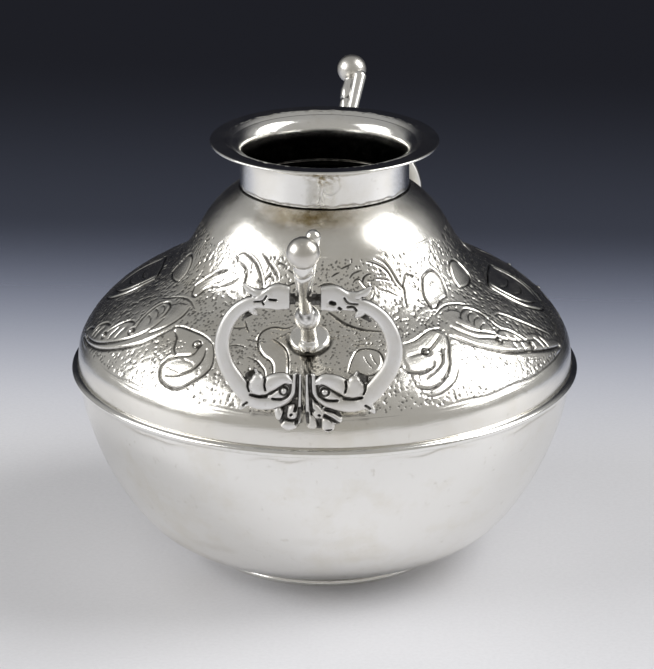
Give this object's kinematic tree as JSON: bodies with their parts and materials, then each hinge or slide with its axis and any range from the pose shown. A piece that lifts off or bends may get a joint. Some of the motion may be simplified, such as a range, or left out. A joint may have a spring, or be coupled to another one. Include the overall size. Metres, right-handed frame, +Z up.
{
  "type": "silver pot with drop handles",
  "caption": "Squat round silver pot with a short flared neck, chased shoulder, low foot and two hinged scroll handles hanging from leaning ball-topped stems.",
  "frame": {"origin": "centre of the foot ring's underside", "axes": "+Z up the pot's axis; the two handle stems lie in the YZ plane, the front one towards -Y"},
  "size_m": [0.14, 0.1776, 0.1197],
  "materials": {
    "plain_silver": "hand-polished silver with fine planishing marks and light scratches",
    "chased_silver": "chased and dot-punched silver, dark in the lines, polished on the high parts",
    "lug_silver": "turned silver, polished, with tarnish in the grooves",
    "cast_silver": "cast and filed silver, dark in the recesses",
    "pin_silver": "dull, tarnished wire"
  },
  "bodies": {
    "pot": {"bowl": "plain_silver", "foot_ring": "plain_silver", "girdle_wire": "plain_silver", "neck_collar": "plain_silver", "brim_ring": "plain_silver", "shoulder": "chased_silver", "front_lug_disc": "lug_silver", "front_lug_stem": "lug_silver", "front_inner_rove": "lug_silver", "front_ball_finial": "lug_silver", "back_lug_disc": "lug_silver", "back_lug_stem": "lug_silver", "back_inner_rove": "lug_silver", "back_ball_finial": "lug_silver"},
    "front_handle": {"front_pivot_pin": "pin_silver", "front_handle_left_scroll": "cast_silver", "front_handle_right_scroll": "cast_silver"},
    "back_handle": {"back_pivot_pin": "pin_silver", "back_handle_left_scroll": "cast_silver", "back_handle_right_scroll": "cast_silver"}
  },
  "joints": [
    {"name": "front_handle_swing", "type": "hinge", "parent": "pot", "child": "front_handle", "pos_m": [0, -0.06805, 0.09607], "axis": [-1, 0, 0], "range_deg": [0, 115]},
    {"name": "back_handle_swing", "type": "hinge", "parent": "pot", "child": "back_handle", "pos_m": [0, 0.06805, 0.09607], "axis": [1, 0, 0], "range_deg": [0, 115]}
  ]
}
